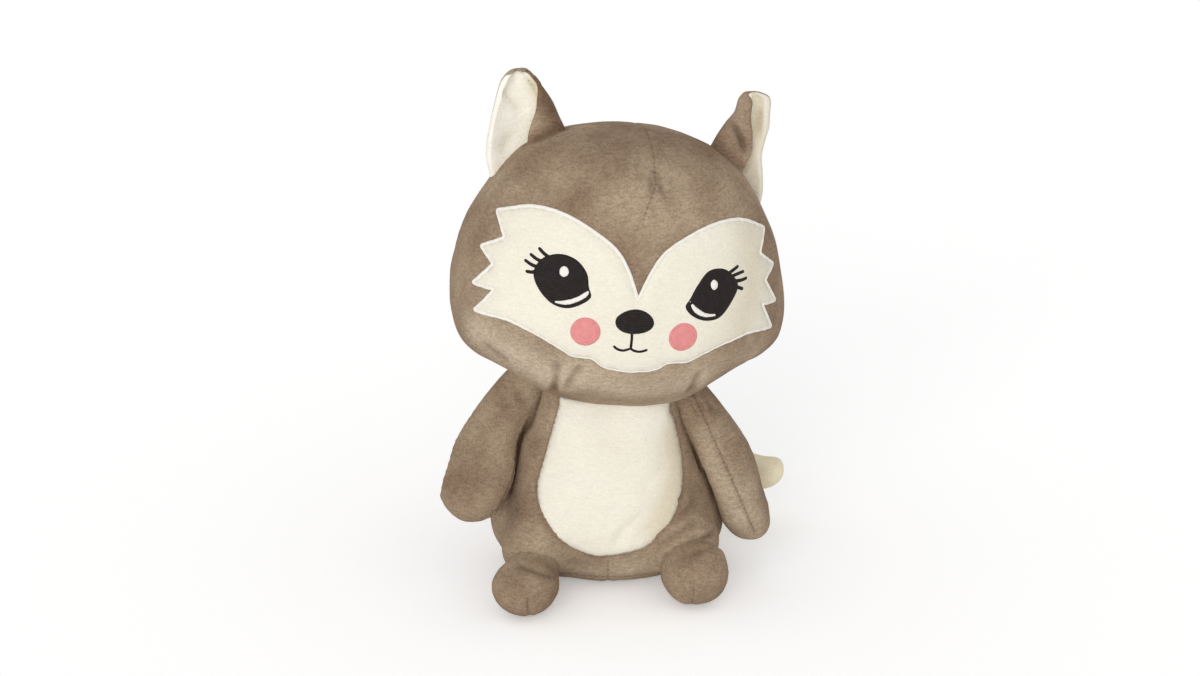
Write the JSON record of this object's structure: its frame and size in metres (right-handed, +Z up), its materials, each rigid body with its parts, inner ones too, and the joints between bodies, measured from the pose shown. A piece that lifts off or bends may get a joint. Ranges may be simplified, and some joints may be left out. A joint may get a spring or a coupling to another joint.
{
  "type": "plush toy",
  "caption": "Seated plush animal cub with a large soft head, upright lined ears, embroidered face, sewn-on arms and legs and a curled tail, stuffed with fibre.",
  "frame": {"origin": "middle of the flat seat, at the surface that the toy sits on", "axes": "+Z up, -Y out of the toy's belly, +X towards the toy's own left"},
  "size_m": [0.1964, 0.1672, 0.2848],
  "materials": {
    "taupe_plush": "brushed short pile",
    "cream_plush": "brushed short pile",
    "black_thread": "satin thread",
    "white_thread": "satin thread",
    "pink_thread": "satin thread",
    "fibre": "loose polyester fibre",
    "bag_cloth": "plain woven"
  },
  "bodies": {
    "torso": {"body_left_panel": "taupe_plush", "body_right_panel": "taupe_plush", "belly_panel": "cream_plush", "seat_panel": "taupe_plush", "body_filling": "fibre", "pellet_bag": "bag_cloth"},
    "neck_core": {"neck_filling": "fibre"},
    "neck": {"neck_collar": "taupe_plush"},
    "head": {"head_front_left_panel": "taupe_plush", "head_front_right_panel": "taupe_plush", "head_back_left_panel": "taupe_plush", "head_back_right_panel": "taupe_plush", "head_filling": "fibre", "face_mask": "cream_plush", "face_mask_edging": "white_thread", "nose": "black_thread", "mouth": "black_thread", "left_cheek": "pink_thread", "right_cheek": "pink_thread", "left_eye": "black_thread", "right_eye": "black_thread", "left_eye_glint": "white_thread", "right_eye_glint": "white_thread", "left_eye_white": "white_thread", "right_eye_white": "white_thread"},
    "left_ear": {"left_ear_back": "taupe_plush", "left_ear_lining": "cream_plush"},
    "right_ear": {"right_ear_back": "taupe_plush", "right_ear_lining": "cream_plush"},
    "left_arm": {"left_arm_outer_panel": "taupe_plush", "left_arm_inner_panel": "taupe_plush", "left_arm_filling": "fibre"},
    "right_arm": {"right_arm_outer_panel": "taupe_plush", "right_arm_inner_panel": "taupe_plush", "right_arm_filling": "fibre"},
    "left_leg": {"left_leg_outer_panel": "taupe_plush", "left_leg_inner_panel": "taupe_plush", "left_leg_filling": "fibre"},
    "right_leg": {"right_leg_outer_panel": "taupe_plush", "right_leg_inner_panel": "taupe_plush", "right_leg_filling": "fibre"},
    "tail": {"tail_sleeve": "taupe_plush", "tail_tip": "cream_plush", "tail_filling": "fibre"}
  },
  "joints": [
    {"name": "head_turn", "type": "hinge", "parent": "torso", "child": "neck_core", "pos_m": [-0.002, -0.005, 0.1], "axis": [0, 0, 1], "range_deg": [-35, 20], "stiffness_Nm_per_rad": 1.5, "deforming": ["neck_filling"]},
    {"name": "head_tilt", "type": "hinge", "parent": "neck_core", "child": "neck", "pos_m": [-0.002, -0.005, 0.1], "axis": [-0.1392, 0.9903, 0], "range_deg": [-9, 4], "stiffness_Nm_per_rad": 1.5, "deforming": ["neck_collar"]},
    {"name": "head_nod", "type": "hinge", "parent": "neck", "child": "head", "pos_m": [-0.002, -0.005, 0.1], "axis": [0.9848, 0.1384, -0.1045], "range_deg": [-10, 8], "stiffness_Nm_per_rad": 1.5},
    {"name": "left_ear_fold", "type": "hinge", "parent": "head", "child": "left_ear", "pos_m": [0.05554, 0.00932, 0.2318], "axis": [0.89, 0.1251, -0.4384], "range_deg": [-10, 10], "stiffness_Nm_per_rad": 0.05},
    {"name": "right_ear_fold", "type": "hinge", "parent": "head", "child": "right_ear", "pos_m": [-0.03507, -0.00341, 0.24142], "axis": [-0.9609, -0.135, -0.2419], "range_deg": [-10, 10], "stiffness_Nm_per_rad": 0.05},
    {"name": "left_arm_lift", "type": "hinge", "parent": "torso", "child": "left_arm", "pos_m": [0.053, -0.004, 0.087], "axis": [-0.8211, -0.5708, 0], "range_deg": [0, 50], "stiffness_Nm_per_rad": 0.12},
    {"name": "right_arm_lift", "type": "hinge", "parent": "torso", "child": "right_arm", "pos_m": [-0.054, -0.004, 0.096], "axis": [-0.8211, 0.5708, 0], "range_deg": [0, 50], "stiffness_Nm_per_rad": 0.12},
    {"name": "left_leg_lift", "type": "hinge", "parent": "torso", "child": "left_leg", "pos_m": [0.042, -0.036, 0.018], "axis": [-1, 0, 0], "range_deg": [-12, 20], "stiffness_Nm_per_rad": 0.12},
    {"name": "right_leg_lift", "type": "hinge", "parent": "torso", "child": "right_leg", "pos_m": [-0.04, -0.04, 0.018], "axis": [-1, 0, 0], "range_deg": [-12, 20], "stiffness_Nm_per_rad": 0.12},
    {"name": "tail_wag", "type": "hinge", "parent": "torso", "child": "tail", "pos_m": [0.008, 0.047, 0.026], "axis": [0, 0, 1], "range_deg": [-2, 60], "stiffness_Nm_per_rad": 0.08}
  ]
}
